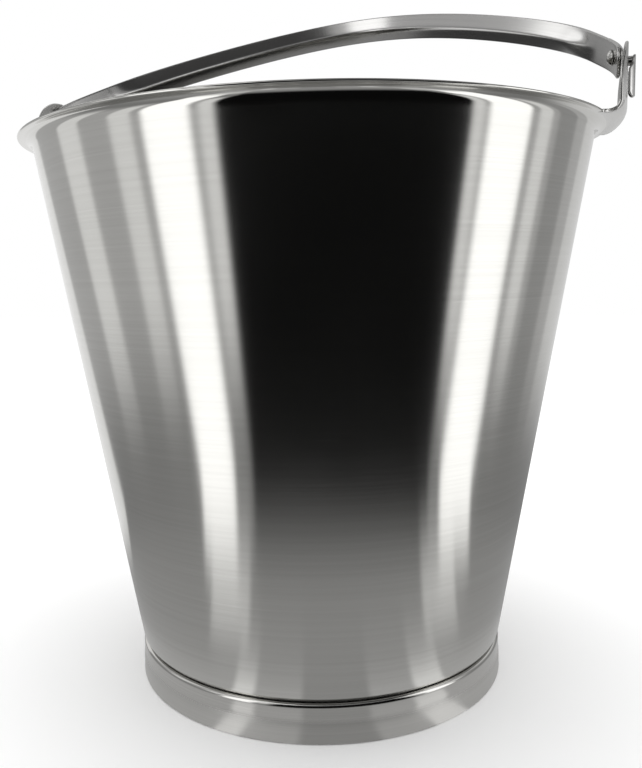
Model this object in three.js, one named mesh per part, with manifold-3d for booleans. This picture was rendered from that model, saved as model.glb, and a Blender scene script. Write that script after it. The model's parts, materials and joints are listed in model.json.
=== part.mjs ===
// Stainless steel pail of a surgical kick bucket: a tapered wall with a flared rim, a let-in bottom,
// a foot ring, two ears turned up from the rim, and a bail that swings on hooks in the ears.
// Millimetres, +Z up. The origin is the centre of the circle that the foot ring stands on.
// The bail swings about a line along X through the eyes of both ears.

import * as THREE from 'three';
import { mergeVertices } from 'three/addons/utils/BufferGeometryUtils.js';
import Module from 'manifold-3d';

const wasm = await Module();
wasm.setup();

// Driving dimensions of the pail
const PAIL_HEIGHT = 292;
const WALL_TOP_RADIUS = 148.6;
const WALL_FOOT_RADIUS = 101.4;
const WALL_SHEET = 1.2;
const FLANGE_WIDTH = 6.4;
const FLARE_RADIUS = 5.2;
const BOTTOM_HEIGHT = 19;
const BOTTOM_CORNER_RADIUS = 6;
const SEAM_ABOVE_CORNER = 2;

// Foot ring
const FOOT_PROUD = 1.1;
const FOOT_SHEET = 1.2;
const FOOT_ROLL_RADIUS = 2;
const FOOT_ROLL_INSET = 0.5;
const FOOT_SWAGE_HEIGHT = 11.5;
const FOOT_SWAGE_STEP = 0.35;
const FOOT_SWAGE_RISE = 1;
const FOOT_LEDGE_WIDTH = 8;

// Ears
const EAR_HEIGHT = 36;
const EAR_OFFSET = 5.75;
const EAR_SHEET = 1.5;
const EAR_BEND_RADIUS = 5.2;
const EAR_HALF_WIDTH = 29;
const EAR_CROWN_RISE = 24;
const EAR_ROOT_HALF_WIDTH = 35;
const EAR_ROOT_SWEEP = 10;
const EYE_BELOW_TOP = 8.5;

// Bail
const BAIL_LEAN = THREE.MathUtils.degToRad(63.4);
const BAIL_REACH = 154;
const BAIL_DRAW_IN = 6.1;
const BAIL_WIDTH = 15.4;
const BAIL_SHEET = 1.5;
const BAIL_BULGE = 3.8;
const BAIL_RIDGE = 0.18;
const BAIL_DROP = 6.5;
const BAIL_CRANK_DROP = 10;
const BAIL_CRANK_LIFT = 36;
const BAIL_CORNER_RADIUS = 6.5;
const BAIL_FLAT_LENGTH = 36;
const BAIL_FADE_LENGTH = 34;

// Hooks and rivets that hold the bail in the ears
const LUG_SHEET = 1;
const LUG_WIDTH = 14;
const LUG_CORNER_RADIUS = 5;
const LUG_DROP = 6;
const LUG_CRANK = 6.35;
const LUG_TOP_LIFT = 24;
const LUG_TO_EAR = 0.7;
const PIN_RADIUS = 2.3;
const TONGUE_LENGTH = 17;
const TONGUE_RADIUS = 4.6;
const TONGUE_SHEET = 1;
const TONGUE_DEPTH = 3;
const TONGUE_TIP_RADIUS = 2.5;
const TONGUE_NECK_RADIUS = 2.9;
const RIVET_LIFT = 10;
const RIVET_RADIUS = 2;
const RIVET_HEAD_RADIUS = 3.8;
const RIVET_HEAD_HEIGHT = 2.2;
const RIVET_TAIL_RADIUS = 3.4;
const RIVET_TAIL_HEIGHT = 1;

// Clearances between pieces
const SEAM_GAP = 0.3;
const SEAT_GAP = 0.3;
const EYE_CLEARANCE = 0.4;
const HOOK_CLEARANCE = 0.4;
const RIVET_CLEARANCE = 0.3;

// Facet counts
const ROUND_STEPS = 80;
const ARC_STEPS = 5;
const BED_STEPS = 2;
const ROLL_INNER_STEPS = 3;
const PIN_STEPS = 16;
const BAIL_STEPS = 66;
const LUG_STEPS = 18;
const STRIP_FACETS = 6;

// Places worked out from the sizes above
const WALL_ANGLE = Math.atan((WALL_TOP_RADIUS - WALL_FOOT_RADIUS) / (PAIL_HEIGHT - BOTTOM_HEIGHT));
const RIM_RADIUS = WALL_TOP_RADIUS + FLANGE_WIDTH;
const FOOT_RADIUS = WALL_FOOT_RADIUS + FOOT_PROUD;
const EAR_TOP = PAIL_HEIGHT + EAR_HEIGHT;
const EAR_INNER = RIM_RADIUS + EAR_OFFSET;
const EAR_OUTER = EAR_INNER + EAR_SHEET;
const PIVOT_HEIGHT = EAR_TOP - EYE_BELOW_TOP;
const LUG_CENTRE = EAR_INNER - LUG_TO_EAR - LUG_SHEET / 2;
const BAIL_HALF_SPAN = LUG_CENTRE - LUG_CRANK;
const LUG_SEAT = BAIL_SHEET / 2 + SEAT_GAP + LUG_SHEET / 2;
const BAIL_CRANK = LUG_CRANK - LUG_SEAT;
const CORNER_CENTRE = cornerCentre();

const STEEL = {
  wall: { color: 0xb9bbbd, roughness: 0.26 },
  bottom: { color: 0xb2b4b6, roughness: 0.32 },
  foot: { color: 0xa9abad, roughness: 0.36 },
  ear: { color: 0xb4b6b8, roughness: 0.24 },
  bail: { color: 0xaeb0b3, roughness: 0.28 },
  hook: { color: 0xbfc1c4, roughness: 0.22 },
  rivet: { color: 0xc8cacc, roughness: 0.2 },
};

// Outer radius of the tapered wall at a height
function wallRadius(height) {
  return WALL_FOOT_RADIUS + (height - BOTTOM_HEIGHT) * Math.tan(WALL_ANGLE);
}

// Centre of the round between the bottom and the wall, touching both on their outer faces
function cornerCentre() {
  const height = BOTTOM_HEIGHT + BOTTOM_CORNER_RADIUS;
  return new THREE.Vector2(wallRadius(height) - BOTTOM_CORNER_RADIUS / Math.cos(WALL_ANGLE), height);
}

// Points of an arc from one angle to another about a centre
function arc(centre, radius, from, to, steps = ARC_STEPS) {
  const clockwise = to < from;
  return new THREE.ArcCurve(centre.x, centre.y, radius, from, to, clockwise).getPoints(steps);
}

// Solid of revolution about Z of a closed profile of radius and height
function revolve(profile, steps = ROUND_STEPS) {
  const geometry = new THREE.LatheGeometry(profile, steps);
  return geometry.rotateX(Math.PI / 2);
}

// Outline drawn in Y and Z, extruded along X between two places
function extrudeAlongX(outline, from, to) {
  const geometry = new THREE.ExtrudeGeometry(outline, {
    depth: to - from,
    bevelEnabled: false,
    curveSegments: 2 * ARC_STEPS,
  });
  const axes = new THREE.Matrix4().makeBasis(
    new THREE.Vector3(0, 1, 0),
    new THREE.Vector3(0, 0, 1),
    new THREE.Vector3(1, 0, 0),
  );
  return geometry.applyMatrix4(axes).translate(from, 0, 0);
}

// Round bar along X between two places
function barAlongX(radius, from, to) {
  const geometry = new THREE.CylinderGeometry(radius, radius, to - from, PIN_STEPS);
  return geometry.rotateZ(-Math.PI / 2).translate((from + to) / 2, 0, 0);
}

// Closed mesh as a solid for joining and cutting
function toSolid(geometry) {
  const bare = geometry.clone();
  bare.deleteAttribute('normal');
  bare.deleteAttribute('uv');
  const merged = mergeVertices(bare, 1e-4);
  const corners = merged.index.array;
  const triVerts = [];
  for (let i = 0; i < corners.length; i += 3) {
    const [a, b, c] = corners.slice(i, i + 3);
    if (a !== b && b !== c && c !== a) {
      triVerts.push(a, b, c);
    }
  }
  return new wasm.Manifold(new wasm.Mesh({
    numProp: 3,
    vertProperties: new Float32Array(merged.attributes.position.array),
    triVerts: new Uint32Array(triVerts),
  }));
}

// Solid back to a mesh
function toGeometry(solid) {
  const { vertProperties, triVerts } = solid.getMesh();
  const geometry = new THREE.BufferGeometry();
  geometry.setAttribute('position', new THREE.BufferAttribute(vertProperties, 3));
  geometry.setIndex(new THREE.BufferAttribute(triVerts, 1));
  geometry.computeVertexNormals();
  return geometry;
}

// Share of the bulge across a strip: a roof with a soft ridge, from 1 in the middle to 0 at the edges
function roofAt(share) {
  const eave = Math.hypot(1, BAIL_RIDGE);
  return (eave - Math.hypot(share, BAIL_RIDGE)) / (eave - BAIL_RIDGE);
}

// Bent sheet carried along a curve in X and Z. Each station gives the distance from the nearer end,
// and from it the half width and how far the middle of the sheet is pressed inward.
function bendSheet(curve, distances, sheet, halfWidthAt, bulgeAt) {
  const length = curve.getLength();
  const ringSize = 2 * (STRIP_FACETS + 1);
  const positions = [];
  for (const distance of distances) {
    const centre = curve.getPointAt(distance / length);
    const tangent = curve.getTangentAt(distance / length);
    const toEnd = Math.min(distance, length - distance);
    const halfWidth = halfWidthAt(toEnd);
    for (let i = 0; i < ringSize; i += 1) {
      const outside = i <= STRIP_FACETS;
      const across = outside ? i : ringSize - 1 - i;
      const share = (2 * across) / STRIP_FACETS - 1;
      const offset = (outside ? 1 : -1) * sheet / 2 - bulgeAt(toEnd) * roofAt(share);
      positions.push(
        centre.x + tangent.y * offset,
        share * halfWidth,
        centre.y - tangent.x * offset,
      );
    }
  }
  const corners = [];
  for (let ring = 0; ring + 1 < distances.length; ring += 1) {
    for (let i = 0; i < ringSize; i += 1) {
      const a = ring * ringSize + i;
      const b = ring * ringSize + (i + 1) % ringSize;
      corners.push(a, b, b + ringSize, a, b + ringSize, a + ringSize);
    }
  }
  for (let i = 0; i < STRIP_FACETS; i += 1) {
    const a = i;
    const b = i + 1;
    const c = ringSize - 2 - i;
    const d = ringSize - 1 - i;
    corners.push(a, c, b, a, d, c);
    const last = (distances.length - 1) * ringSize;
    corners.push(last + a, last + b, last + c, last + a, last + c, last + d);
  }
  const geometry = new THREE.BufferGeometry();
  geometry.setAttribute('position', new THREE.Float32BufferAttribute(positions, 3));
  geometry.setIndex(corners);
  geometry.computeVertexNormals();
  return geometry;
}

// Half width of a strip whose end corners are rounded
function roundedHalfWidth(width, radius, distance) {
  const inside = Math.min(distance, radius);
  return width / 2 - radius + Math.sqrt(radius * radius - (radius - inside) ** 2);
}

// Distances along a strip: close together over the rounded ends, even between them
function stripStations(length, radius, steps) {
  const stations = [];
  for (let i = 0; i < ARC_STEPS; i += 1) {
    stations.push(radius * (1 - Math.cos((i / ARC_STEPS) * Math.PI / 2)));
  }
  const even = steps - 2 * ARC_STEPS;
  for (let i = 0; i <= even; i += 1) {
    stations.push(radius + ((length - 2 * radius) * i) / even);
  }
  for (let i = ARC_STEPS - 1; i >= 0; i -= 1) {
    stations.push(length - stations[i]);
  }
  return stations;
}

// Centre line of the bail, from the right foot over the crown to the left foot: an ellipse about the
// pivot line, drawn in at both shoulders by a third harmonic, in X and in height above that line. The
// legs run on straight below it and crank out towards the ears.
class BailArch extends THREE.Curve {
  constructor(endLift) {
    super();
    this.arcLengthDivisions = 800;
    this.rise = BAIL_REACH - 4 * BAIL_DRAW_IN;
    this.start = 0;
    for (let round = 0; round < 8; round += 1) {
      this.start += (endLift - this.pointAtAngle(this.start).y) / this.rise;
    }
  }

  pointAtAngle(angle, target = new THREE.Vector2()) {
    const above = THREE.MathUtils.clamp(angle, 0, Math.PI);
    const across = (BAIL_HALF_SPAN - BAIL_DRAW_IN) * Math.cos(above)
      + BAIL_DRAW_IN * Math.cos(3 * above);
    const lift = (BAIL_REACH - BAIL_DRAW_IN) * Math.sin(above) - BAIL_DRAW_IN * Math.sin(3 * above)
      - this.rise * Math.abs(angle - above);
    const crank = THREE.MathUtils.smoothstep(-lift, -BAIL_CRANK_LIFT, BAIL_CRANK_DROP);
    return target.set(across + Math.sign(across) * BAIL_CRANK * crank, lift);
  }

  getPoint(t, target = new THREE.Vector2()) {
    return this.pointAtAngle(this.start + (Math.PI - 2 * this.start) * t, target);
  }
}

// Point and outward direction of the bail's right leg at a height above the pivot line
function legAt(lift) {
  const leg = new BailArch(lift);
  const tangent = leg.getTangent(0);
  return { point: leg.getPoint(0), outward: new THREE.Vector2(tangent.y, -tangent.x) };
}

function buildWall() {
  const underFlange = PAIL_HEIGHT - WALL_SHEET;
  const flareHeight = underFlange - FLARE_RADIUS;
  const flareCentre = new THREE.Vector2(
    wallRadius(flareHeight) + FLARE_RADIUS / Math.cos(WALL_ANGLE),
    flareHeight,
  );
  const seam = CORNER_CENTRE.y + SEAM_ABOVE_CORNER;
  const along = Math.PI - WALL_ANGLE;
  const start = new THREE.Vector2(wallRadius(seam), seam);
  return revolve([
    start,
    ...arc(flareCentre, FLARE_RADIUS, along, Math.PI / 2),
    new THREE.Vector2(RIM_RADIUS, underFlange),
    new THREE.Vector2(RIM_RADIUS, PAIL_HEIGHT),
    ...arc(flareCentre, FLARE_RADIUS + WALL_SHEET, Math.PI / 2, along),
    new THREE.Vector2(wallRadius(seam) - WALL_SHEET / Math.cos(WALL_ANGLE), seam),
    start.clone(),
  ]);
}

function buildBottom() {
  const edge = CORNER_CENTRE.y + SEAM_ABOVE_CORNER - SEAM_GAP;
  return revolve([
    new THREE.Vector2(0, BOTTOM_HEIGHT),
    ...arc(CORNER_CENTRE, BOTTOM_CORNER_RADIUS, -Math.PI / 2, -WALL_ANGLE),
    new THREE.Vector2(wallRadius(edge), edge),
    new THREE.Vector2(wallRadius(edge) - WALL_SHEET / Math.cos(WALL_ANGLE), edge),
    ...arc(CORNER_CENTRE, BOTTOM_CORNER_RADIUS - WALL_SHEET, -WALL_ANGLE, -Math.PI / 2),
    new THREE.Vector2(0, BOTTOM_HEIGHT + WALL_SHEET),
  ]);
}

// The foot ring's sheet runs as a ledge under the bottom, follows the pail's corner, rolls over into
// a rounded shoulder beside it and drops as a skirt with a shallow swage.
function buildFootRing() {
  const bed = BOTTOM_CORNER_RADIUS + SEAT_GAP;
  const reach = bed + FOOT_ROLL_RADIUS;
  const shoulder = FOOT_RADIUS - FOOT_ROLL_INSET;
  const across = shoulder - FOOT_ROLL_RADIUS - CORNER_CENTRE.x;
  const tilt = -Math.acos(across / reach);
  const rollCentre = new THREE.Vector2(
    CORNER_CENTRE.x + across,
    CORNER_CENTRE.y + reach * Math.sin(tilt),
  );
  const ledgeEnd = CORNER_CENTRE.x - FOOT_LEDGE_WIDTH;
  const swageTop = FOOT_SWAGE_HEIGHT + FOOT_SWAGE_RISE / 2;
  const swageFoot = FOOT_SWAGE_HEIGHT - FOOT_SWAGE_RISE / 2;
  const start = new THREE.Vector2(FOOT_RADIUS, 0);
  return revolve([
    start,
    new THREE.Vector2(shoulder + FOOT_SWAGE_STEP, swageFoot),
    new THREE.Vector2(shoulder, swageTop),
    ...arc(rollCentre, FOOT_ROLL_RADIUS, 0, Math.PI + tilt),
    ...arc(CORNER_CENTRE, bed, tilt, -Math.PI / 2, BED_STEPS).slice(1),
    new THREE.Vector2(ledgeEnd, CORNER_CENTRE.y - bed),
    new THREE.Vector2(ledgeEnd, CORNER_CENTRE.y - bed - FOOT_SHEET),
    ...arc(CORNER_CENTRE, bed + FOOT_SHEET, -Math.PI / 2, tilt, BED_STEPS),
    ...arc(rollCentre, FOOT_ROLL_RADIUS - FOOT_SHEET, Math.PI + tilt, 0, ROLL_INNER_STEPS).slice(1),
    new THREE.Vector2(shoulder - FOOT_SHEET, swageTop),
    new THREE.Vector2(shoulder + FOOT_SWAGE_STEP - FOOT_SHEET, swageFoot),
    new THREE.Vector2(FOOT_RADIUS - FOOT_SHEET, 0),
    start.clone(),
  ]);
}

// Right ear: a sheet that leaves the rim's edge level, bends up, follows the rim round and ends in an
// arched top with an eye.
function buildEar() {
  const bend = new THREE.Vector2(EAR_INNER - EAR_BEND_RADIUS, PAIL_HEIGHT + EAR_BEND_RADIUS);
  const root = RIM_RADIUS + SEAM_GAP;
  const start = new THREE.Vector2(root, PAIL_HEIGHT - EAR_SHEET);
  const bentSheet = revolve([
    start,
    ...arc(bend, EAR_BEND_RADIUS + EAR_SHEET, -Math.PI / 2, 0),
    new THREE.Vector2(EAR_OUTER, EAR_TOP),
    new THREE.Vector2(EAR_INNER, EAR_TOP),
    ...arc(bend, EAR_BEND_RADIUS, 0, -Math.PI / 2),
    new THREE.Vector2(root, PAIL_HEIGHT),
    start.clone(),
  ], 2 * ROUND_STEPS);
  const waist = PAIL_HEIGHT + EAR_ROOT_SWEEP;
  const below = PAIL_HEIGHT - 2 * EAR_SHEET;
  const outline = new THREE.Shape();
  outline.moveTo(EAR_ROOT_HALF_WIDTH, below);
  outline.lineTo(EAR_ROOT_HALF_WIDTH, PAIL_HEIGHT);
  outline.quadraticCurveTo(EAR_HALF_WIDTH, PAIL_HEIGHT, EAR_HALF_WIDTH, waist);
  outline.lineTo(EAR_HALF_WIDTH, EAR_TOP - EAR_CROWN_RISE);
  outline.absellipse(0, EAR_TOP - EAR_CROWN_RISE, EAR_HALF_WIDTH, EAR_CROWN_RISE, 0, Math.PI, false);
  outline.lineTo(-EAR_HALF_WIDTH, waist);
  outline.quadraticCurveTo(-EAR_HALF_WIDTH, PAIL_HEIGHT, -EAR_ROOT_HALF_WIDTH, PAIL_HEIGHT);
  outline.lineTo(-EAR_ROOT_HALF_WIDTH, below);
  const eye = new THREE.Path();
  eye.absarc(0, PIVOT_HEIGHT, PIN_RADIUS + EYE_CLEARANCE, 0, 2 * Math.PI, true);
  outline.holes.push(eye);
  const nearest = Math.sqrt(RIM_RADIUS ** 2 - EAR_ROOT_HALF_WIDTH ** 2);
  return toGeometry(toSolid(bentSheet)
    .intersect(toSolid(extrudeAlongX(outline, nearest - 1, EAR_OUTER + 1))));
}

// Clearance hole for a rivet, square to the bail's right leg
function rivetHole() {
  const { point, outward } = legAt(RIVET_LIFT);
  const depth = 4 * (BAIL_SHEET + LUG_SHEET);
  const hole = barAlongX(RIVET_RADIUS + RIVET_CLEARANCE, -depth / 2, depth / 2);
  return hole.rotateY(-Math.atan2(outward.y, outward.x)).translate(point.x, 0, point.y);
}

// Ridged strip of the bail, with flattened, cranked, rounded and drilled ends
function buildBailStrip() {
  const arch = new BailArch(-BAIL_DROP);
  const stations = stripStations(arch.getLength(), BAIL_CORNER_RADIUS, BAIL_STEPS);
  const bulgeAt = (distance) => BAIL_BULGE
    * THREE.MathUtils.smoothstep(distance, BAIL_FLAT_LENGTH, BAIL_FLAT_LENGTH + BAIL_FADE_LENGTH);
  const halfWidthAt = (distance) => roundedHalfWidth(BAIL_WIDTH, BAIL_CORNER_RADIUS, distance);
  const strip = toSolid(bendSheet(arch, stations, BAIL_SHEET, halfWidthAt, bulgeAt))
    .subtract(toSolid(rivetHole()))
    .subtract(toSolid(rivetHole().rotateZ(Math.PI)));
  return toGeometry(strip);
}

// Hook's lug: a plate that lies on the outside of the bail's leg, down past the pivot line
function buildLug() {
  const route = [];
  const seatSteps = 10;
  for (let i = 0; i <= seatSteps; i += 1) {
    const { point, outward } = legAt(-LUG_DROP + ((LUG_TOP_LIFT + LUG_DROP) * i) / seatSteps);
    route.push(point.addScaledVector(outward, LUG_SEAT));
  }
  const curve = new THREE.SplineCurve(route);
  const stations = stripStations(curve.getLength(), LUG_CORNER_RADIUS, LUG_STEPS);
  const halfWidthAt = (distance) => roundedHalfWidth(LUG_WIDTH, LUG_CORNER_RADIUS, distance);
  return toSolid(bendSheet(curve, stations, LUG_SHEET, halfWidthAt, () => 0))
    .subtract(toSolid(rivetHole()));
}

// Hook's tongue: a half-round gutter outside the ear, with a narrow round neck over the pin
function buildTongue() {
  const crown = EAR_OUTER + HOOK_CLEARANCE + TONGUE_DEPTH;
  const spread = Math.acos((TONGUE_RADIUS - TONGUE_DEPTH) / (TONGUE_RADIUS - TONGUE_SHEET));
  const centre = new THREE.Vector2(crown - TONGUE_RADIUS, 0);
  const gutter = new THREE.Shape([
    ...arc(centre, TONGUE_RADIUS, -spread, spread, 2 * ARC_STEPS),
    ...arc(centre, TONGUE_RADIUS - TONGUE_SHEET, spread, -spread, 2 * ARC_STEPS),
  ]);
  const halfWidth = TONGUE_RADIUS * Math.sin(spread) + 1;
  const top = TONGUE_NECK_RADIUS;
  const body = new THREE.ExtrudeGeometry(gutter, {
    depth: TONGUE_LENGTH + top,
    bevelEnabled: false,
  });
  body.translate(0, 0, -TONGUE_LENGTH);
  const outline = new THREE.Shape();
  outline.moveTo(TONGUE_NECK_RADIUS, 0);
  outline.absarc(0, 0, TONGUE_NECK_RADIUS, 0, Math.PI, false);
  outline.lineTo(-TONGUE_NECK_RADIUS, -PIN_RADIUS);
  outline.lineTo(-halfWidth, -PIN_RADIUS);
  outline.lineTo(-halfWidth, TONGUE_TIP_RADIUS - TONGUE_LENGTH);
  outline.quadraticCurveTo(-halfWidth, -TONGUE_LENGTH, TONGUE_TIP_RADIUS - halfWidth, -TONGUE_LENGTH);
  outline.lineTo(halfWidth - TONGUE_TIP_RADIUS, -TONGUE_LENGTH);
  outline.quadraticCurveTo(halfWidth, -TONGUE_LENGTH, halfWidth, TONGUE_TIP_RADIUS - TONGUE_LENGTH);
  outline.lineTo(halfWidth, -PIN_RADIUS);
  outline.lineTo(TONGUE_NECK_RADIUS, -PIN_RADIUS);
  const pinEnd = crown - TONGUE_SHEET / 2;
  return toSolid(body)
    .intersect(toSolid(extrudeAlongX(outline, EAR_OUTER, crown + 1)))
    .add(toSolid(barAlongX(PIN_RADIUS, LUG_CENTRE, pinEnd)));
}

// One hook, for the right ear or turned about Z for the left: its tongue hangs plumb when the bail
// leans as it stands at rest.
function buildHook(turn) {
  const lug = toGeometry(buildLug()).rotateZ(turn);
  const tongue = toGeometry(buildTongue()).rotateZ(turn).rotateX(BAIL_LEAN);
  return toGeometry(toSolid(lug).add(toSolid(tongue)));
}

// Rivet through the bail's foot and the lug: domed head inside, flat tail outside
function buildRivet(turn) {
  const headSeat = -BAIL_SHEET / 2 - RIVET_CLEARANCE;
  const tailSeat = BAIL_SHEET / 2 + SEAT_GAP + LUG_SHEET + RIVET_CLEARANCE;
  const domeRadius = (RIVET_HEAD_RADIUS ** 2 + RIVET_HEAD_HEIGHT ** 2) / (2 * RIVET_HEAD_HEIGHT);
  const domeCentre = new THREE.Vector2(0, headSeat - RIVET_HEAD_HEIGHT + domeRadius);
  const domeEdge = Math.atan2(headSeat - domeCentre.y, RIVET_HEAD_RADIUS);
  const rivet = new THREE.LatheGeometry([
    ...arc(domeCentre, domeRadius, -Math.PI / 2, domeEdge),
    new THREE.Vector2(RIVET_RADIUS, headSeat),
    new THREE.Vector2(RIVET_RADIUS, tailSeat),
    new THREE.Vector2(RIVET_TAIL_RADIUS, tailSeat),
    new THREE.Vector2(RIVET_TAIL_RADIUS, tailSeat + RIVET_TAIL_HEIGHT),
    new THREE.Vector2(0, tailSeat + RIVET_TAIL_HEIGHT),
  ], PIN_STEPS);
  const { point, outward } = legAt(RIVET_LIFT);
  rivet.rotateZ(-Math.PI / 2).rotateY(-Math.atan2(outward.y, outward.x));
  return rivet.translate(point.x, 0, point.y).rotateZ(turn);
}

function steelMesh(name, geometry, look) {
  const material = new THREE.MeshStandardMaterial({ ...look, metalness: 1 });
  const mesh = new THREE.Mesh(geometry, material);
  mesh.name = name;
  return mesh;
}

const pail = new THREE.Group();
pail.add(steelMesh('pail_wall', buildWall(), STEEL.wall));
pail.add(steelMesh('pail_bottom', buildBottom(), STEEL.bottom));
pail.add(steelMesh('foot_ring', buildFootRing(), STEEL.foot));

const bail = new THREE.Group();
bail.position.z = PIVOT_HEIGHT;
bail.rotation.x = -BAIL_LEAN;
bail.add(steelMesh('bail_strip', buildBailStrip(), STEEL.bail));

for (const [side, turn] of [['right', 0], ['left', Math.PI]]) {
  const ear = steelMesh(`ear_${side}`, buildEar(), STEEL.ear);
  ear.rotation.z = turn;
  pail.add(ear);
  bail.add(steelMesh(`hook_${side}`, buildHook(turn), STEEL.hook));
  bail.add(steelMesh(`rivet_${side}`, buildRivet(turn), STEEL.rivet));
}

const bucket = new THREE.Group();
bucket.add(pail, bail);

export default bucket;
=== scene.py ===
import json
import math

import bmesh
import bpy
import numpy as np
from mathutils import Matrix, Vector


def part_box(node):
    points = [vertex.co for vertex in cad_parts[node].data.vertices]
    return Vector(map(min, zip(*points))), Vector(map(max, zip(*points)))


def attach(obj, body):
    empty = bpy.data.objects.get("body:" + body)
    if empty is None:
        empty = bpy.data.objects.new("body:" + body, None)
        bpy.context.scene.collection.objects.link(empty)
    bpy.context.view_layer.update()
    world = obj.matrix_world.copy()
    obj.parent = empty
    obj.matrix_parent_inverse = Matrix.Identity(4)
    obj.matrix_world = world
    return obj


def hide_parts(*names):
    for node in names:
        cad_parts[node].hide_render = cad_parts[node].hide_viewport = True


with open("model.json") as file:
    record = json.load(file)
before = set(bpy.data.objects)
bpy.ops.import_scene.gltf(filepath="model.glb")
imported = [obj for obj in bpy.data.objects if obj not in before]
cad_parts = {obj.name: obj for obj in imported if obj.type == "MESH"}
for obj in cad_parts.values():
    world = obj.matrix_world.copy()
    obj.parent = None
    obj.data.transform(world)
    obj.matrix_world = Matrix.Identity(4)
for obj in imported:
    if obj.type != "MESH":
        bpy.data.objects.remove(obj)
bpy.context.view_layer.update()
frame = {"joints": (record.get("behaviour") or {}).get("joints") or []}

MM = 0.001
PI = math.pi


def corners_mm(node):
    """Lowest and highest corner of a solid of the frame, in millimetres."""
    return [np.array(corner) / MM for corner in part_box(node)]


# Sizes read from the solids, in millimetres
WALL_HIGH = corners_mm("pail_wall")[1]
BOTTOM_LOW = corners_mm("pail_bottom")[0]
FOOT_HIGH = corners_mm("foot_ring")[1]
EAR_HIGH = corners_mm("ear_right")[1]
HINGE = next(joint for joint in frame["joints"] if joint["name"] == "bail_swing")

PAIL_HEIGHT = WALL_HIGH[2]
RIM_RADIUS = WALL_HIGH[0]
BOTTOM_HEIGHT = BOTTOM_LOW[2]
FOOT_RADIUS = FOOT_HIGH[0]
EAR_OUTER = EAR_HIGH[0]
EAR_TOP = EAR_HIGH[2]
PIVOT_HEIGHT = HINGE["pos_m"][2] / MM

# Pail
FLANGE_WIDTH = 6.4
FOOT_OVERHANG = 1.1
WALL_TOP_RADIUS = RIM_RADIUS - FLANGE_WIDTH
WALL_FOOT_RADIUS = FOOT_RADIUS - FOOT_OVERHANG
WALL_ANGLE = math.atan((WALL_TOP_RADIUS - WALL_FOOT_RADIUS) / (PAIL_HEIGHT - BOTTOM_HEIGHT))
WALL_SHEET = 1.2
FLARE_RADIUS = 5.2
CORNER_RADIUS = 6.0
WALL_STEPS = 40
BOTTOM_STEPS = 10
PAIL_TURN_STEPS = 288

# Foot ring
FOOT_SHEET = 1.2
ROLL_RADIUS = 2.0
ROLL_INSET = 0.5
ROLL_GAP = 0.2
SWAGE_TOP = 12.0
SWAGE_FOOT = 11.0
SWAGE_STEP = 0.35
SWAGE_FADE_UP = 1.5
SWAGE_FADE_DOWN = 3.0
SKIRT_UPRIGHT = 2.0
SKIRT_RELIEF = 0.05
SKIRT_STEPS = 24
SEAT_GAP = 0.3
LEDGE_WIDTH = 8.0
FOOT_TURN_STEPS = 240

# Ears
EAR_SHEET = 1.5
EAR_BEND = 5.2
EAR_HALF_WIDTH = 29.0
EAR_CROWN_RISE = 24.0
EAR_ROOT_HALF_WIDTH = 35.0
EAR_ROOT_SWEEP = 10.0
EAR_SUNK = 2.6
EAR_SUNK_MARGIN = 0.1
EAR_THINNING = 0.4
EAR_THIN_START = 0.2
EAR_THIN_END = 3.0
EAR_FACE_STEPS = 22
EYE_RADIUS = 2.7
EYE_LIP = 0.35

# Bail, hooks and rivets
BAIL_LEAN = math.radians(63.4)
BAIL_REACH = 154.0
BAIL_HALF_SPAN = 153.2
BAIL_DRAW_IN = 6.1
BAIL_WIDTH = 15.4
BAIL_SHEET = 1.5
BAIL_BULGE = 3.8
BAIL_RIDGE = 0.18
BAIL_DROP = 6.5
BAIL_CRANK = 4.8
BAIL_CRANK_DROP = 10.0
BAIL_CRANK_LIFT = 36.0
BAIL_CORNER = 6.5
BAIL_FLAT = 36.0
BAIL_FADE = 34.0
LEG_LOW_ANGLE = -0.2
LEG_HIGH_ANGLE = 0.6
ROUTE_STEPS = 4000
LUG_INSET = 1.2
LUG_CENTRE = EAR_OUTER - EAR_SHEET - LUG_INSET
LUG_SHEET = 1.0
LUG_WIDTH = 14.0
LUG_CORNER = 5.0
LUG_DROP = 6.0
LUG_TOP_LIFT = 24.0
PIN_RADIUS = 2.3
PIN_BEVEL = 0.3
PIN_SUNK = 0.6
TONGUE_LENGTH = 17.0
TONGUE_RADIUS = 4.6
TONGUE_SHEET = 1.0
TONGUE_DEPTH = 3.3
TONGUE_NECK = 2.9
TONGUE_TIP = 3.0
TONGUE_NECK_FADE = (-PIN_RADIUS - 2.2, -PIN_RADIUS + 1.2)
TONGUE_GAP = 0.1
TONGUE_CROWN = EAR_OUTER + TONGUE_GAP + TONGUE_DEPTH
RIVET_LIFT = 10.0
RIVET_HEAD = 3.8
RIVET_HEAD_HEIGHT = 2.2
RIVET_HEAD_LAND = 0.2
RIVET_SHANK = 2.0
RIVET_TAIL = 2.9
RIVET_TAIL_ROUND = 0.5

# Camera, in the object's frame
CAMERA_AZIMUTH = math.radians(18.5)
CAMERA_DISTANCE = 473.6
CAMERA_HEIGHT = 219.0
CAMERA_TURN = math.radians(1.645)
CAMERA_PITCH = math.radians(6.5)
CAMERA_ROLL = math.radians(1.26)
FOCAL_PIXELS = 835.0
IMAGE_CENTRE = (291.6, 373.0)
IMAGE_SIZE = (642, 768)
SENSOR_WIDTH = 36.0


# Surfaces

def arc(centre, radius, start, end, steps=8):
    """Points of a circle: centre plus radius times (cos t, sin t), with t even from start to end."""
    t = np.linspace(start, end, steps + 1)
    return np.stack([centre[0] + radius * np.cos(t), centre[1] + radius * np.sin(t)], axis=-1)


def line(start, end, steps=1):
    """Points of a straight line, even from start to end."""
    share = np.linspace(0.0, 1.0, steps + 1)[:, None]
    return np.array(start) * (1 - share) + np.array(end) * share


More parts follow.
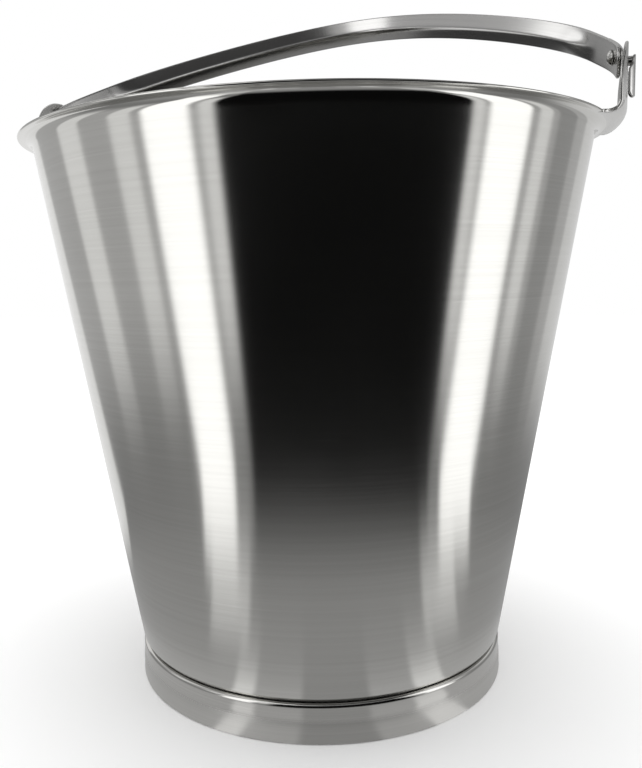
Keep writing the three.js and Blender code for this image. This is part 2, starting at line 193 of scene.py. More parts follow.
def revolve(profile, steps):
    """Surface of revolution: (r, z) of the profile at angle t becomes (r cos t, r sin t, z)."""
    t = np.arange(steps) * (2 * PI / steps)
    radius, height = profile[:, 0, None], profile[:, 1, None]
    return np.stack(np.broadcast_arrays(radius * np.cos(t), radius * np.sin(t), height), axis=-1)


def smoothstep(value, low, high):
    """0 below low, 1 above high and 3s^2 - 2s^3 between, s being the share of the way."""
    share = np.clip((value - low) / (high - low), 0.0, 1.0)
    return share * share * (3 - 2 * share)


def half_turn(points):
    """The same shape for the other side: turned half way round Z."""
    return points * np.array([-1.0, -1.0, 1.0])


def with_bail(points):
    """Bail's own frame to the object's: leaned back about X through the pivot line."""
    x, y, z = np.moveaxis(points, -1, 0)
    cos, sin = math.cos(BAIL_LEAN), math.sin(BAIL_LEAN)
    return np.stack([x, y * cos + z * sin, PIVOT_HEIGHT - y * sin + z * cos], axis=-1)


def sheet_section(face_steps, edge_steps):
    """Once round a sheet's section, over one face, a half-round edge, the other face and the other edge: the
    place across from -1 to 1, and how far out of the edge and off the middle each point lies, as shares."""
    turn = np.linspace(0.0, PI, edge_steps)[1:-1]
    across = np.linspace(-1.0, 1.0, face_steps)
    zeros, ends = np.zeros(face_steps), np.ones(edge_steps - 2)
    return (np.concatenate([across, ends, -across, -ends]),
            np.concatenate([zeros, np.sin(turn), zeros, -np.sin(turn)]),
            np.concatenate([zeros + 1, np.cos(turn), zeros - 1, -np.cos(turn)]))


def make_piece(name, grids, body, nodes, material):
    """One mesh from grids of points, each with whether its rows and its columns close. Quads join corner (i, j)
    to (i, j+1), (i+1, j+1) and (i+1, j); the UV map runs in metres along a grid's two directions."""
    vertices, faces, marks = [], [], []
    count = 0
    for points, close_rows, close_columns in grids:
        rows, columns = points.shape[:2]
        i, j = np.meshgrid(np.arange(rows - (not close_rows)), np.arange(columns - (not close_columns)),
                           indexing="ij")
        i, j = i.ravel(), j.ravel()
        quad_i = np.stack([i, i, i + 1, i + 1], axis=-1)
        quad_j = np.stack([j, j + 1, j + 1, j], axis=-1)
        faces.append(count + (quad_i % rows) * columns + quad_j % columns)
        along = np.linalg.norm(np.diff(points, axis=0, append=points[:1]), axis=-1).max(axis=1)
        across = np.linalg.norm(np.diff(points, axis=1, append=points[:, :1]), axis=-1).max(axis=0)
        along = np.concatenate([[0.0], np.cumsum(along)])
        across = np.concatenate([[0.0], np.cumsum(across)])
        marks.append(np.stack([along[quad_i], across[quad_j]], axis=-1).reshape(-1, 2) * MM)
        vertices.append(points.reshape(-1, 3) * MM)
        count += rows * columns
    mesh = bpy.data.meshes.new(name)
    mesh.from_pydata(np.concatenate(vertices).tolist(), [], np.concatenate(faces).tolist())
    mesh.uv_layers.new(name="run").data.foreach_set("uv", np.concatenate(marks).ravel())
    shape = bmesh.new()
    shape.from_mesh(mesh)
    bmesh.ops.remove_doubles(shape, verts=shape.verts, dist=1e-6)
    bmesh.ops.dissolve_degenerate(shape, edges=shape.edges, dist=1e-7)
    bmesh.ops.recalc_face_normals(shape, faces=shape.faces)
    shape.to_mesh(mesh)
    shape.free()
    mesh.shade_smooth()
    mesh.materials.append(material)
    piece = bpy.data.objects.new(name, mesh)
    bpy.context.scene.collection.objects.link(piece)
    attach(piece, body)
    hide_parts(*nodes)


# Pail

def wall_radius(height):
    """Radius of the wall's outside: the foot radius plus the height above the bottom times the taper."""
    return WALL_FOOT_RADIUS + (height - BOTTOM_HEIGHT) * math.tan(WALL_ANGLE)


def corner_centre():
    """Centre of the round corner between bottom and wall, touching both."""
    height = BOTTOM_HEIGHT + CORNER_RADIUS
    return np.array([wall_radius(height) - CORNER_RADIUS / math.cos(WALL_ANGLE), height])


def pail_shell():
    """Closed profile turned about Z: flat bottom, round corner, straight taper, flare, level flange with a
    half-round edge, then the same back along the inside at one sheet thickness."""
    under = PAIL_HEIGHT - WALL_SHEET
    flare_height = under - FLARE_RADIUS
    flare = (wall_radius(flare_height) + FLARE_RADIUS / math.cos(WALL_ANGLE), flare_height)
    corner = corner_centre()
    edge = (RIM_RADIUS - WALL_SHEET / 2, PAIL_HEIGHT - WALL_SHEET / 2)
    outer_corner = arc(corner, CORNER_RADIUS, -PI / 2, -WALL_ANGLE)
    inner_corner = arc(corner, CORNER_RADIUS - WALL_SHEET, -WALL_ANGLE, -PI / 2)
    outer_flare = arc(flare, FLARE_RADIUS, PI - WALL_ANGLE, PI / 2)
    inner_flare = arc(flare, FLARE_RADIUS + WALL_SHEET, PI / 2, PI - WALL_ANGLE)
    profile = np.concatenate([
        line((0.0, BOTTOM_HEIGHT), outer_corner[0], BOTTOM_STEPS)[:-1],
        outer_corner,
        line(outer_corner[-1], outer_flare[0], WALL_STEPS)[1:-1],
        outer_flare,
        arc(edge, WALL_SHEET / 2, -PI / 2, PI / 2, 6),
        inner_flare,
        line(inner_flare[-1], inner_corner[0], WALL_STEPS)[1:-1],
        inner_corner,
        line(inner_corner[-1], (0.0, BOTTOM_HEIGHT + WALL_SHEET), BOTTOM_STEPS)[1:],
    ])
    return revolve(profile, PAIL_TURN_STEPS)


def foot_skin():
    """Closed profile turned about Z: skirt with a shallow swage, rolled shoulder, the curve that follows the
    pail's corner and a ledge under its bottom, then back along the inside."""
    corner = corner_centre()
    bed = CORNER_RADIUS + SEAT_GAP
    shoulder = FOOT_RADIUS - ROLL_INSET
    across = shoulder - ROLL_RADIUS - corner[0]
    tilt = -math.acos(across / (bed + ROLL_RADIUS))
    roll = corner + np.array([across, (bed + ROLL_RADIUS) * math.sin(tilt)])
    ledge_end = corner[0] - LEDGE_WIDTH
    ledge_top = corner[1] - bed
    half = FOOT_SHEET / 2
    skirt_height = np.linspace(FOOT_SHEET, roll[1] - ROLL_GAP, SKIRT_STEPS)
    rise = smoothstep(skirt_height, SWAGE_FOOT - SWAGE_FADE_DOWN, SWAGE_TOP + SWAGE_FADE_UP)
    slope = np.clip((skirt_height - SKIRT_UPRIGHT) / (SWAGE_FOOT - SKIRT_UPRIGHT), 0.0, 1.0)
    lean = ROLL_INSET - SWAGE_STEP - SKIRT_RELIEF
    skirt_radius = FOOT_RADIUS - SKIRT_RELIEF - lean * slope - SWAGE_STEP * rise
    profile = np.concatenate([
        arc((FOOT_RADIUS - half, half), half, -PI, 0, 8),
        np.stack([skirt_radius, skirt_height], axis=-1),
        arc(roll, ROLL_RADIUS, 0, PI + tilt, 12),
        arc(corner, bed, tilt, -PI / 2, 6)[1:],
        arc((ledge_end, ledge_top - half), half, PI / 2, 3 * PI / 2, 6),
        arc(corner, bed + FOOT_SHEET, -PI / 2, tilt, 6),
        arc(roll, ROLL_RADIUS - FOOT_SHEET, PI + tilt, 0, 6)[1:],
        line((shoulder - FOOT_SHEET, SWAGE_TOP), (shoulder + SWAGE_STEP - FOOT_SHEET, SWAGE_FOOT), 3),
    ])
    return revolve(profile, FOOT_TURN_STEPS)


def ear_tab():
    """Sheet between its eye and its outline: rays from the eye's edge to the outline, on the flat sheet,
    once along each face with half-round edges, then bent up from the rim and rolled to follow it round. The
    outline is an arched top, straight sides and a root that sweeps out along the rim's edge and thins away
    inside it."""
    half = EAR_SHEET / 2
    bend_r = EAR_OUTER - EAR_SHEET - EAR_BEND
    bend_z = PAIL_HEIGHT + EAR_BEND
    bend = EAR_BEND + half
    quarter = bend * PI / 2
    root = bend_z - quarter - (bend_r - RIM_RADIUS + EAR_SUNK)
    crown = EAR_TOP - EAR_CROWN_RISE

    flat = np.linspace(root, crown, 60)
    rim_edge = root + EAR_SUNK + EAR_SUNK_MARGIN
    waist = bend_z - quarter + EAR_ROOT_SWEEP
    sweep = np.sqrt(np.clip((flat - rim_edge) / (waist - rim_edge), 0.0, 1.0))
    side = EAR_HALF_WIDTH + (EAR_ROOT_HALF_WIDTH - EAR_HALF_WIDTH) * (1 - sweep) ** 2
    turn = np.linspace(0.0, PI, 49)[1:-1]
    root_y = np.linspace(-EAR_ROOT_HALF_WIDTH, EAR_ROOT_HALF_WIDTH, 44)[1:-1]
    outline = np.concatenate([
        np.stack([side, flat], axis=-1),
        np.stack([EAR_HALF_WIDTH * np.cos(turn), crown + EAR_CROWN_RISE * np.sin(turn)], axis=-1),
        np.stack([-side, flat], axis=-1)[::-1],
        np.stack([root_y, np.full_like(root_y, root)], axis=-1),
    ])
    spoke = outline - np.array([0.0, PIVOT_HEIGHT])
    reach = np.linalg.norm(spoke, axis=-1, keepdims=True)
    spoke = spoke / reach

    edge = np.linspace(0.0, PI, 7)
    share = np.linspace(0.0, 1.0, EAR_FACE_STEPS)
    face = EYE_RADIUS + EYE_LIP + (reach - half - EYE_RADIUS - EYE_LIP) * share
    rim = reach - half + half * np.sin(edge)
    ones = np.ones_like(reach)
    eye = ones * (EYE_RADIUS + EYE_LIP - EYE_LIP * np.sin(edge))
    distance = np.concatenate([face, rim[:, 1:-1], face[:, ::-1], eye[:, 1:-1]], axis=1)
    lift = np.concatenate([
        ones * np.full(EAR_FACE_STEPS, half), ones * half * np.cos(edge[1:-1]),
        ones * np.full(EAR_FACE_STEPS, -half), -ones * half * np.cos(edge[1:-1]),
    ], axis=1)
    y = spoke[:, :1] * distance
    flat_z = PIVOT_HEIGHT + spoke[:, 1:] * distance
    below = np.maximum(bend_z - flat_z, 0.0)
    angle = np.minimum(below / bend, PI / 2)
    past = np.maximum(below - quarter, 0.0)
    lift = lift * (1 - EAR_THINNING * smoothstep(past, EAR_THIN_START, EAR_THIN_END))
    radius = bend_r + (bend + lift) * np.cos(angle) - past
    z = np.where(flat_z > bend_z, flat_z, bend_z - (bend + lift) * np.sin(angle))
    return np.stack([np.sqrt(radius ** 2 - y ** 2), y, z], axis=-1)


# Bail

def arch(angle):
    """Bail's centre line: an ellipse about the pivot line, drawn in at the shoulders by a third harmonic. The
    legs run on straight below that line and crank out towards the ears."""
    above = np.clip(angle, 0.0, PI)
    across = (BAIL_HALF_SPAN - BAIL_DRAW_IN) * np.cos(above) + BAIL_DRAW_IN * np.cos(3 * above)
    lift = (BAIL_REACH - BAIL_DRAW_IN) * np.sin(above) - BAIL_DRAW_IN * np.sin(3 * above)
    lift = lift - (BAIL_REACH - 4 * BAIL_DRAW_IN) * np.abs(angle - above)
    crank = smoothstep(-lift, -BAIL_CRANK_LIFT, BAIL_CRANK_DROP)
    return np.stack([across + np.sign(across) * BAIL_CRANK * crank, lift], axis=-1)


def leg_at(lift):
    """Point and outward direction of the bail's right leg at a height above the pivot line."""
    angles = np.linspace(LEG_LOW_ANGLE, LEG_HIGH_ANGLE, ROUTE_STEPS)
    route = arch(angles)
    slope = np.gradient(route, axis=0)
    slope /= np.linalg.norm(slope, axis=-1, keepdims=True)
    point = np.stack([np.interp(lift, route[:, 1], route[:, k]) for k in range(2)], axis=-1)
    along = np.stack([np.interp(lift, route[:, 1], slope[:, k]) for k in range(2)], axis=-1)
    return point, np.stack([along[..., 1], -along[..., 0]], axis=-1)


def strip_stations(length, corner, sheet, even):
    """Distances along a strip: close over its half-round nose and round corners, even between them."""
    quarter = np.linspace(0.0, PI / 2, 9)
    near = np.union1d(sheet / 2 * (1 - np.cos(quarter)), corner * (1 - np.cos(quarter)))
    return np.unique(np.concatenate([near, np.linspace(corner, length - corner, even), length - near]))


def bent_strip(route, corner, width, sheet, bulge, even):
    """Sheet strip carried along a route in X and Z. Its section is a roof with a soft ridge, a hyperbola
    pressed inward by bulge, with half-round edges; width and thickness close to a nose at both ends."""
    step = np.linalg.norm(np.diff(route, axis=0), axis=-1)
    run = np.concatenate([[0.0], np.cumsum(step)])
    at = strip_stations(run[-1], corner, sheet, even)
    slope = np.gradient(route, run, axis=0)
    middle = np.stack([np.interp(at, run, route[:, k]) for k in range(2)], axis=-1)
    along = np.stack([np.interp(at, run, slope[:, k]) for k in range(2)], axis=-1)
    along /= np.linalg.norm(along, axis=-1, keepdims=True)
    to_end = np.minimum(at, run[-1] - at)
    half = (width / 2 - corner + np.sqrt(corner ** 2 - (corner - np.minimum(to_end, corner)) ** 2))[:, None]
    nose = np.minimum(to_end / (sheet / 2), 1.0)
    thick = (sheet / 2 * np.sqrt(1 - (1 - nose) ** 2))[:, None]
    press = bulge(to_end)[:, None]

    share, out, up = sheet_section(33, 9)
    eave = math.hypot(1, BAIL_RIDGE)
    roof = (eave - np.hypot(share, BAIL_RIDGE)) / (eave - BAIL_RIDGE)
    pitch = press / half * share / np.hypot(share, BAIL_RIDGE) / (eave - BAIL_RIDGE)
    slant = np.hypot(1, pitch)
    y = share * (half - thick) + thick * (out - up * pitch) / slant
    offset = thick * (out * pitch + up) / slant - press * roof
    x = middle[:, :1] + along[:, 1:] * offset
    z = middle[:, 1:] - along[:, :1] * offset
    return np.stack([x, y, z], axis=-1)


def bail_bow():
    """Arch from foot to foot, flat at its ends and pressed to a ridge between them."""
    angles = np.linspace(LEG_LOW_ANGLE, PI / 2, ROUTE_STEPS)
    start = np.interp(-BAIL_DROP, arch(angles)[:, 1], angles)
    return bent_strip(
        arch(np.linspace(start, PI - start, ROUTE_STEPS)), BAIL_CORNER, BAIL_WIDTH, BAIL_SHEET,
        lambda to_end: BAIL_BULGE * smoothstep(to_end, BAIL_FLAT, BAIL_FLAT + BAIL_FADE), 220)


def hook_lug():
    """Plate on the outside of the bail's leg, down past the pivot line: the leg's line moved out by its seat."""
    point, outward = leg_at(np.linspace(-LUG_DROP, LUG_TOP_LIFT, 600))
    route = point + outward * (BAIL_SHEET / 2 + SEAT_GAP + LUG_SHEET / 2)
    return bent_strip(route, LUG_CORNER, LUG_WIDTH, LUG_SHEET, lambda to_end: 0 * to_end, 60)


def hook_pin():
    """Round pin along the pivot line from the lug to the tongue: a circle about X, closed at both ends."""
    end = TONGUE_CROWN - PIN_SUNK
    nose = PIN_RADIUS - PIN_BEVEL
    x = np.array([LUG_CENTRE, LUG_CENTRE, LUG_CENTRE + PIN_BEVEL, end - PIN_BEVEL, end, end])
    r = np.array([0.0, nose, PIN_RADIUS, PIN_RADIUS, nose, 0.0])
    t = np.arange(32) * (2 * PI / 32)
    return np.stack(np.broadcast_arrays(x[:, None], r[:, None] * np.cos(t), r[:, None] * np.sin(t)), axis=-1)


def hook_tongue():
    """Gutter that hangs outside the ear: an arc of sheet about a plumb axis. Its half angle follows the
    height, from a round neck over the pin out to the full gutter and in again at the rounded tip."""
    spread = math.acos((TONGUE_RADIUS - TONGUE_DEPTH) / (TONGUE_RADIUS - TONGUE_SHEET))
    half = TONGUE_SHEET / 2
    middle = TONGUE_RADIUS - half
    ease = np.sin(np.linspace(-PI / 2, PI / 2, 61)) * 0.5 + 0.5
    height = -TONGUE_LENGTH + (TONGUE_LENGTH + TONGUE_NECK) * ease
    full = middle * spread
    neck = np.sqrt(np.clip(TONGUE_NECK ** 2 - np.maximum(height, 0.0) ** 2, 0.0, None))
    tip = height + TONGUE_LENGTH
    short = TONGUE_TIP - np.minimum(tip, TONGUE_TIP)
    round_tip = full - TONGUE_TIP + np.sqrt(np.clip(TONGUE_TIP ** 2 - short ** 2, 0.0, None))
    share = smoothstep(height, *TONGUE_NECK_FADE)
    reach = (round_tip * (1 - share) + neck * share)[:, None]
    to_end = np.minimum(tip, TONGUE_NECK - height)
    thick = (half * np.sqrt(1 - (1 - np.minimum(to_end / half, 1.0)) ** 2))[:, None]

    side, out, up = sheet_section(17, 7)
    angle = (side * np.maximum(reach - thick, 0.0) + np.minimum(thick, reach) * out) / middle
    radius = middle + thick * up
    x = TONGUE_CROWN - TONGUE_RADIUS + radius * np.cos(angle)
    y = radius * np.sin(angle)
    return np.stack(np.broadcast_arrays(x, y, height[:, None]), axis=-1)


def rivet_form():
    """Profile turned about the leg's outward normal: domed head inside, shank, flat tail with a round edge."""
    head_seat = -BAIL_SHEET / 2 - SEAT_GAP
    tail_seat = BAIL_SHEET / 2 + SEAT_GAP + LUG_SHEET + SEAT_GAP
    dome = (RIVET_HEAD ** 2 + RIVET_HEAD_HEIGHT ** 2) / (2 * RIVET_HEAD_HEIGHT)
    centre = (0.0, head_seat - RIVET_HEAD_HEIGHT + dome)
    profile = np.concatenate([
        arc(centre, dome, -PI / 2, math.atan2(head_seat - centre[1], RIVET_HEAD), 10),
        [(RIVET_HEAD - RIVET_HEAD_LAND, head_seat), (RIVET_SHANK, head_seat), (RIVET_SHANK, tail_seat)],
        arc((RIVET_TAIL, tail_seat + RIVET_TAIL_ROUND), RIVET_TAIL_ROUND, -PI / 2, PI / 2, 6),
        [(0.0, tail_seat + 2 * RIVET_TAIL_ROUND)],
    ])
    point, outward = leg_at(np.array(RIVET_LIFT))
    t = np.arange(40) * (2 * PI / 40)
    radius, height = profile[:, :1], profile[:, 1:]
    side = np.array([-outward[1], outward[0]])
    x = point[0] + outward[0] * height + side[0] * radius * np.cos(t)
    z = point[1] + outward[1] * height + side[1] * radius * np.cos(t)
    return np.stack([x, radius * np.sin(t), z], axis=-1)


# Finishes

class Wire:
    """A shader socket in sums: its operators add Math nodes to the tree that it belongs to."""

    def __init__(self, tree, socket=None):
        self.tree = tree
        self.socket = socket

    def add(self, kind, settings=None, inputs=None, output=0):
        """Any node by its type: settings first, then values or links."""
        node = self.tree.nodes.new(kind)
        for name, value in (settings or {}).items():
            setattr(node, name, value)
        for key, value in (inputs or {}).items():
            if isinstance(value, Wire):
                self.tree.links.new(value.socket, node.inputs[key])
            else:
                node.inputs[key].default_value = value
        return Wire(self.tree, node.outputs[output] if len(node.outputs) else None)

    def math(self, operation, *values):
        return self.add("ShaderNodeMath", {"operation": operation}, dict(enumerate(values)))

    def __add__(self, other):
        return self.math("ADD", self, other)

    def __radd__(self, other):
        return self.math("ADD", other, self)

    def __sub__(self, other):
        return self.math("SUBTRACT", self, other)

    def __rsub__(self, other):
        return self.math("SUBTRACT", other, self)

    def __mul__(self, other):
        return self.math("MULTIPLY", self, other)

    def __truediv__(self, other):
        return self.math("DIVIDE", self, other)

    def __pow__(self, other):
        return self.math("POWER", self, other)

    def between(self, low, high):
        """0 below low, 1 above high, smooth between."""
        return self.add("ShaderNodeMapRange", {"interpolation_type": "SMOOTHSTEP"},
                        {"Value": self, "From Min": low, "From Max": high})

    def mixed(self, first, second):
        """Colour that goes from first to second as this value goes from 0 to 1."""
        return self.add("ShaderNodeMix", {"data_type": "RGBA"}, {0: self, 6: first, 7: second}, output=2)


def fresh_tree(owner):
    owner.use_nodes = True
    owner.node_tree.nodes.clear()
    return Wire(owner.node_tree)


def point_of(tree, source="Object"):
    """X, Y and Z of the point, from Object coordinates or from the piece's own UV map."""
    if source == "Object":
        place = tree.add("ShaderNodeTexCoord", output=3)
    else:
        place = tree.add("ShaderNodeUVMap", {"uv_map": source})
    split = tree.add("ShaderNodeSeparateXYZ", inputs={0: place})
    node = split.socket.node
    return [Wire(tree.tree, node.outputs[k]) for k in range(3)]


def noise(tree, x, y, z, detail, rough):
    """Noise at a point whose three axes are already scaled."""
    place = tree.add("ShaderNodeCombineXYZ", inputs={0: x, 1: y, 2: z})
    return tree.add("ShaderNodeTexNoise", inputs={"Vector": place, "Scale": 1.0, "Detail": detail, "Roughness": rough})


# Brushed steel, in metres: waves of the noises along and across the lines, and the steps of the finish
FINE_WAVES = (7, 3000)
COARSE_WAVES = (3, 420)
SCRATCH_WAVES = (30, 1400)
CLOUD_WAVES = 14
CLOUD_ROUGHNESS = 0.05
SCRATCH_ROUGHNESS = 0.02
DULL_ROUGHNESS = 0.16
DULL_EDGE = 0.0015
POLISH = 0.09
POLISH_EDGE = 0.002
LEAST_ROUGHNESS = 0.06
LINE_DEPTH = 0.0001


def steel(name, colour, shade, roughness, brush, anisotropy, lines, grain, dull_below=None, bright_above=None):
    """Brushed steel: lines run where the grain's third value is constant. Tone and roughness change slowly, and the
    finish may be duller below one height or polished above another."""
    material = bpy.data.materials.new(name)
    tree = fresh_tree(material)
    x, y, across = grain(tree)
    fine, coarse, scratch = [
        noise(tree, x * along, y * along, across * over, detail, rough) for (along, over), detail, rough in (
            (FINE_WAVES, 2.0, 0.6), (COARSE_WAVES, 3.0, 0.6), (SCRATCH_WAVES, 1.0, 0.4))]
    scratch = scratch.between(0.68, 0.76)
    object_x, object_y, height = point_of(tree)
    cloud = noise(tree, object_x * CLOUD_WAVES, object_y * CLOUD_WAVES, height * CLOUD_WAVES, 3.0, 0.55)
    tone = (fine * 0.45 + coarse * 0.35 + cloud * 0.2).between(0.3, 0.7)
    rough = (roughness + (fine - 0.5) * brush + (cloud - 0.5) * CLOUD_ROUGHNESS
             + scratch * SCRATCH_ROUGHNESS)
    if dull_below:
        rough = rough + height.between(dull_below + DULL_EDGE, dull_below - DULL_EDGE) * DULL_ROUGHNESS
    if bright_above:
        rough = rough - height.between(bright_above - POLISH_EDGE, bright_above + POLISH_EDGE) * POLISH
    bump = tree.add("ShaderNodeBump", inputs={
        "Strength": lines, "Distance": LINE_DEPTH, "Height": fine * 0.6 + coarse * 0.5 - scratch * 0.3})
    shader = tree.add("ShaderNodeBsdfPrincipled", inputs={
        "Base Color": tone.mixed(shade, colour), "Metallic": 1.0,
        "Roughness": rough.math("MAXIMUM", rough, LEAST_ROUGHNESS),
        "Anisotropic": anisotropy, "Anisotropic Rotation": 0.25, "Normal": bump})
    tree.add("ShaderNodeOutputMaterial", inputs={"Surface": shader})
    return material


def turned_grain(tree):
    """Lines round the axis: constant where height plus radius is."""
    x, y, z = point_of(tree)
    return x, y, z + (x * x + y * y) ** 0.5


def lengthwise_grain(tree):
    """Lines along the strip: constant where the distance across it is."""
    along, across, _ = point_of(tree, "run")
    return along, along * 0.0, across


def level_grain(tree):
    """Level lines: constant where the height is."""
    return point_of(tree)


# Each finish: colour and its shade, roughness, brushing, anisotropy, depth of the lines and their run
WALL_STEEL = steel("wall_steel", (0.66, 0.655, 0.632, 1), (0.60, 0.595, 0.572, 1), 0.16, 0.04, 0.95, 0.012,
                   turned_grain, bright_above=(PAIL_HEIGHT - FLARE_RADIUS - 1.0) * MM)
FOOT_STEEL = steel("foot_steel", (0.65, 0.642, 0.62, 1), (0.58, 0.573, 0.553, 1), 0.15, 0.07, 0.6, 0.03,
                   turned_grain, dull_below=SWAGE_FOOT * MM)
EAR_STEEL = steel("ear_steel", (0.64, 0.635, 0.62, 1), (0.55, 0.545, 0.53, 1), 0.2, 0.08, 0.0, 0.08, level_grain)
BAIL_STEEL = steel("bail_steel", (0.66, 0.655, 0.645, 1), (0.57, 0.565, 0.555, 1), 0.19, 0.06, 0.0, 0.06,
                   lengthwise_grain)
HOOK_STEEL = steel("hook_steel", (0.64, 0.635, 0.625, 1), (0.55, 0.545, 0.535, 1), 0.18, 0.08, 0.0, 0.05, level_grain)
RIVET_STEEL = steel("rivet_steel", (0.66, 0.655, 0.64, 1), (0.56, 0.555, 0.54, 1), 0.24, 0.08, 0.0, 0.06, level_grain)

# Pieces
make_piece("pail_shell", [(pail_shell(), False, True)], "pail", ["pail_wall", "pail_bottom"], WALL_STEEL)
make_piece("foot_skin", [(foot_skin(), True, True)], "pail", ["foot_ring"], FOOT_STEEL)
make_piece("bail_bow", [(with_bail(bail_bow()), False, True)], "bail", ["bail_strip"], BAIL_STEEL)

PLUMB = np.array([0.0, 0.0, PIVOT_HEIGHT])
for side, turned in (("right", lambda points: points), ("left", half_turn)):
    make_piece(f"ear_tab_{side}", [(turned(ear_tab()), True, True)], "pail", [f"ear_{side}"], EAR_STEEL)
    make_piece(f"hook_plate_{side}", [
        (with_bail(turned(hook_lug())), False, True),
        (turned(hook_pin()) + PLUMB, False, True),
        (turned(hook_tongue()) + PLUMB, False, True),
    ], "bail", [f"hook_{side}"], HOOK_STEEL)
    make_piece(f"rivet_dome_{side}", [(with_bail(turned(rivet_form())), False, True)], "bail", [f"rivet_{side}"],
               RIVET_STEEL)


# Stage

def stage_object(name, points, material, close_columns=False):
    """Plain grid of points in metres, as one object with its material."""
    rows, columns = points.shape[:2]
    i, j = np.meshgrid(np.arange(rows - 1), np.arange(columns - (not close_columns)), indexing="ij")
    i, j = i.ravel(), j.ravel()
    after = (j + 1) % columns
    quads = np.stack([i * columns + j, i * columns + after, (i + 1) * columns + after, (i + 1) * columns + j], -1)
    mesh = bpy.data.meshes.new(name)
    mesh.from_pydata(points.reshape(-1, 3).tolist(), [], quads.tolist())
    mesh.materials.append(material)
    thing = bpy.data.objects.new(name, mesh)
    bpy.context.scene.collection.objects.link(thing)
    return thing


def grey(level):
    return (level, level, level, 1.0)


def floor_paint():
    """Pale floor: white to the camera, a softer grey in the metal."""
    material = bpy.data.materials.new("floor_paint")
    tree = fresh_tree(material)
    seen = tree.add("ShaderNodeLightPath", output=0)
    shader = tree.add("ShaderNodeBsdfDiffuse", inputs={
        "Color": seen.mixed((0.5, 0.49, 0.48, 1), grey(1.0))})
    tree.add("ShaderNodeOutputMaterial", inputs={"Surface": shader})
    return material


# Panels of light and dark cloth hung in a grey tent round the object: from and to degrees round from the camera,
# right being positive, and a level
BLACK, DARK, SHADE, DIM, GREY, LIGHT, PALE, WHITE = 0.004, 0.05, 0.25, 0.35, 0.5, 0.7, 0.9, 1.65
# Floor and apron panels are painted pools of light at the sides and painted shade in front, seen only in the metal
FLOOR_PANELS = [(-30, -25, PALE), (-5, 15, DIM), (35, 45, PALE)]
APRON_PANELS = [(-45, -30, LIGHT), (45, 60, LIGHT)]
FOOT_PANELS = [(-145, -115, PALE), (-49, -36, WHITE), (-25, 46, BLACK), (55, 70, WHITE)]
SIDE_PANELS = [
    (-180, -150, DARK), (-144, -115, PALE), (-90, -80, PALE), (-62, -56, PALE), (-49, -36, WHITE), (-30, -28, PALE),
    (-25, 46, BLACK), (49, 50, PALE), (55, 69, WHITE), (76, 80, PALE), (87, 97, DIM), (110, 150, LIGHT),
    (165, 180, DARK),
]
TOP_PANELS = [(-145, -130, WHITE), (-55, -20, WHITE), (0, 90, DARK)]
PANEL_EDGE = 3.0

# Where one row of panels fades into the next, in metres: out along the floor, then up the tent
FLOOR_FADE = (0.122, 0.145)
FLOOR_FADE_SHARE = 0.75
APRON_FADE = (0.14, 0.19)
FOOT_FADE = (0.19, 0.32)
SIDE_FADE = (0.02, 0.16)
STRIP_FADE = (0.34, 0.375)
TOP_FADE = (0.44, 0.5)

# The tent's rings from the floor to its lid, as radius and height
TENT_RINGS = [(0.09, 0.0), (0.2, 0.0), (0.27, 0.0), (0.34, 0.0), (0.34, 0.33), (0.34, 0.62), (0.5, 1.1)]
TENT_STEPS = 180
LID_FADE = (0.2, 0.5)
LID_MIDDLE = 0.07
LID_EDGE = 0.28


def hung(degrees, ground, panels):
    """Light by the angle: panels on a ground of one level, each fading out over PANEL_EDGE degrees."""
    glow = grey(ground)
    for start, end, level in panels:
        inside = degrees.between(start - PANEL_EDGE, start) - degrees.between(end, end + PANEL_EDGE)
        glow = inside.mixed(glow, grey(level))
    return glow


def reflector_glow():
    """The tent's light: panels on the floor, an apron, the foot of the sides, the side panels, a grey strip over
    them and the top panels, each fading into the next."""
    material = bpy.data.materials.new("reflector_glow")
    tree = fresh_tree(material)
    x, y, z = point_of(tree)
    angle = tree.math("ARCTAN2", x, 0.0 - y) - CAMERA_AZIMUTH
    degrees = tree.math("FRACT", angle / (2 * PI) + 0.5) * 360.0 - 180.0
    out = (x * x + y * y) ** 0.5
    glow = (out.between(*FLOOR_FADE) * FLOOR_FADE_SHARE).mixed(hung(degrees, GREY, FLOOR_PANELS), grey(DIM))
    glow = out.between(*APRON_FADE).mixed(glow, hung(degrees, DIM, APRON_PANELS))
    glow = out.between(*FOOT_FADE).mixed(glow, hung(degrees, SHADE, FOOT_PANELS))
    glow = z.between(*SIDE_FADE).mixed(glow, hung(degrees, GREY, SIDE_PANELS))
    glow = z.between(*STRIP_FADE).mixed(glow, grey(DIM))
    glow = z.between(*TOP_FADE).mixed(glow, hung(degrees, GREY, TOP_PANELS))
    shader = tree.add("ShaderNodeEmission", inputs={"Color": glow, "Strength": 1.0})
    tree.add("ShaderNodeOutputMaterial", inputs={"Surface": shader})
    return material


def ceiling_cloth():
    """Dim cloth overhead that glows, seen only in the metal, its glow a little lighter towards its edge."""
    material = bpy.data.materials.new("ceiling_cloth")
    tree = fresh_tree(material)
    x, y, _ = point_of(tree)
    out = ((x * x + y * y) ** 0.5).between(*LID_FADE)
    shader = tree.add("ShaderNodeEmission", inputs={
        "Color": out.mixed(grey(LID_MIDDLE), grey(LID_EDGE)), "Strength": 1.0})
    tree.add("ShaderNodeOutputMaterial", inputs={"Surface": shader})
    return material


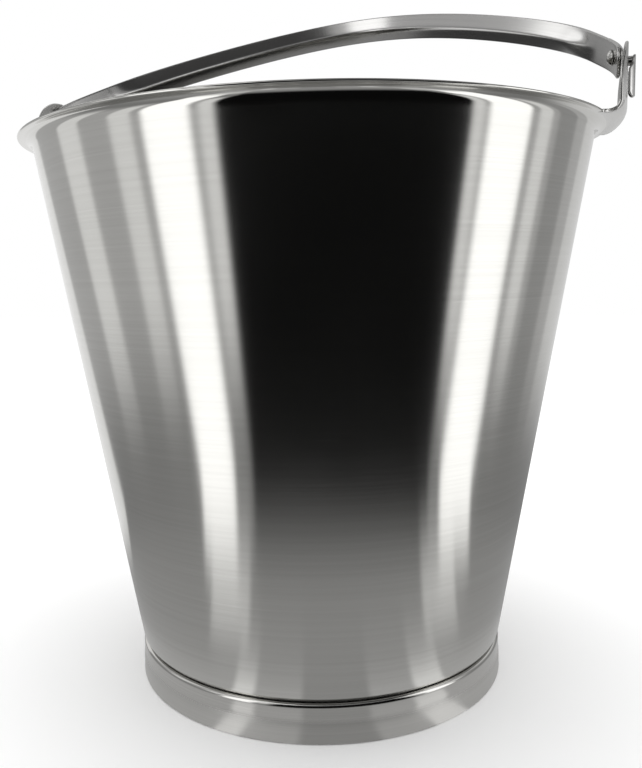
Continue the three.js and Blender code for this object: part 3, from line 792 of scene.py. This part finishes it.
FLOOR_HALF = 4.0
FLOOR_SUNK = 0.0004
grid = np.linspace(-FLOOR_HALF, FLOOR_HALF, 3)
stage_object("floor", np.stack(np.broadcast_arrays(grid[:, None], grid[None, :], -FLOOR_SUNK), axis=-1), floor_paint())
ring = stage_object("reflector", revolve(np.array(TENT_RINGS), TENT_STEPS), reflector_glow(), close_columns=True)
tent_radius, tent_height = TENT_RINGS[-1]
lid = stage_object("ceiling_cloth", revolve(np.array([(0.0, tent_height), (tent_radius, tent_height)]), TENT_STEPS),
                   ceiling_cloth(), close_columns=True)
for thing in (ring, lid):
    for ray in ("camera", "diffuse", "transmission", "volume_scatter", "shadow"):
        setattr(thing, f"visible_{ray}", False)

world = bpy.data.worlds.new("studio")
bpy.context.scene.world = world
sky = fresh_tree(world)
sky.add("ShaderNodeOutputWorld", inputs={"Surface": sky.add("ShaderNodeBackground", inputs={
    "Color": grey(1.0), "Strength": 1.0})})

lamp = bpy.data.lights.new("softbox", "AREA")
lamp.energy = 14.0
lamp.shape = "RECTANGLE"
lamp.size = 1.6
lamp.size_y = 1.2
key = bpy.data.objects.new("softbox", lamp)
LAMP_HEIGHT = 2.2
key.matrix_world = Matrix.Translation((0.0, 0.0, LAMP_HEIGHT))
bpy.context.scene.collection.objects.link(key)

# Camera
lens = bpy.data.cameras.new("camera")
long_side = max(IMAGE_SIZE)
lens.sensor_width = SENSOR_WIDTH
lens.lens = SENSOR_WIDTH * FOCAL_PIXELS / long_side
lens.shift_x = (IMAGE_SIZE[0] / 2 - IMAGE_CENTRE[0]) / long_side
lens.shift_y = (IMAGE_CENTRE[1] - IMAGE_SIZE[1] / 2) / long_side
lens.clip_start = 0.02
camera = bpy.data.objects.new("camera", lens)
camera.matrix_world = (
    Matrix.Translation((CAMERA_DISTANCE * MM * math.sin(CAMERA_AZIMUTH),
                        -CAMERA_DISTANCE * MM * math.cos(CAMERA_AZIMUTH), CAMERA_HEIGHT * MM))
    @ Matrix.Rotation(CAMERA_AZIMUTH + CAMERA_TURN, 4, "Z")
    @ Matrix.Rotation(PI / 2 - CAMERA_PITCH, 4, "X")
    @ Matrix.Rotation(-CAMERA_ROLL, 4, "Z"))
bpy.context.scene.collection.objects.link(camera)
bpy.context.scene.camera = camera
bpy.context.scene.view_settings.view_transform = "Standard"
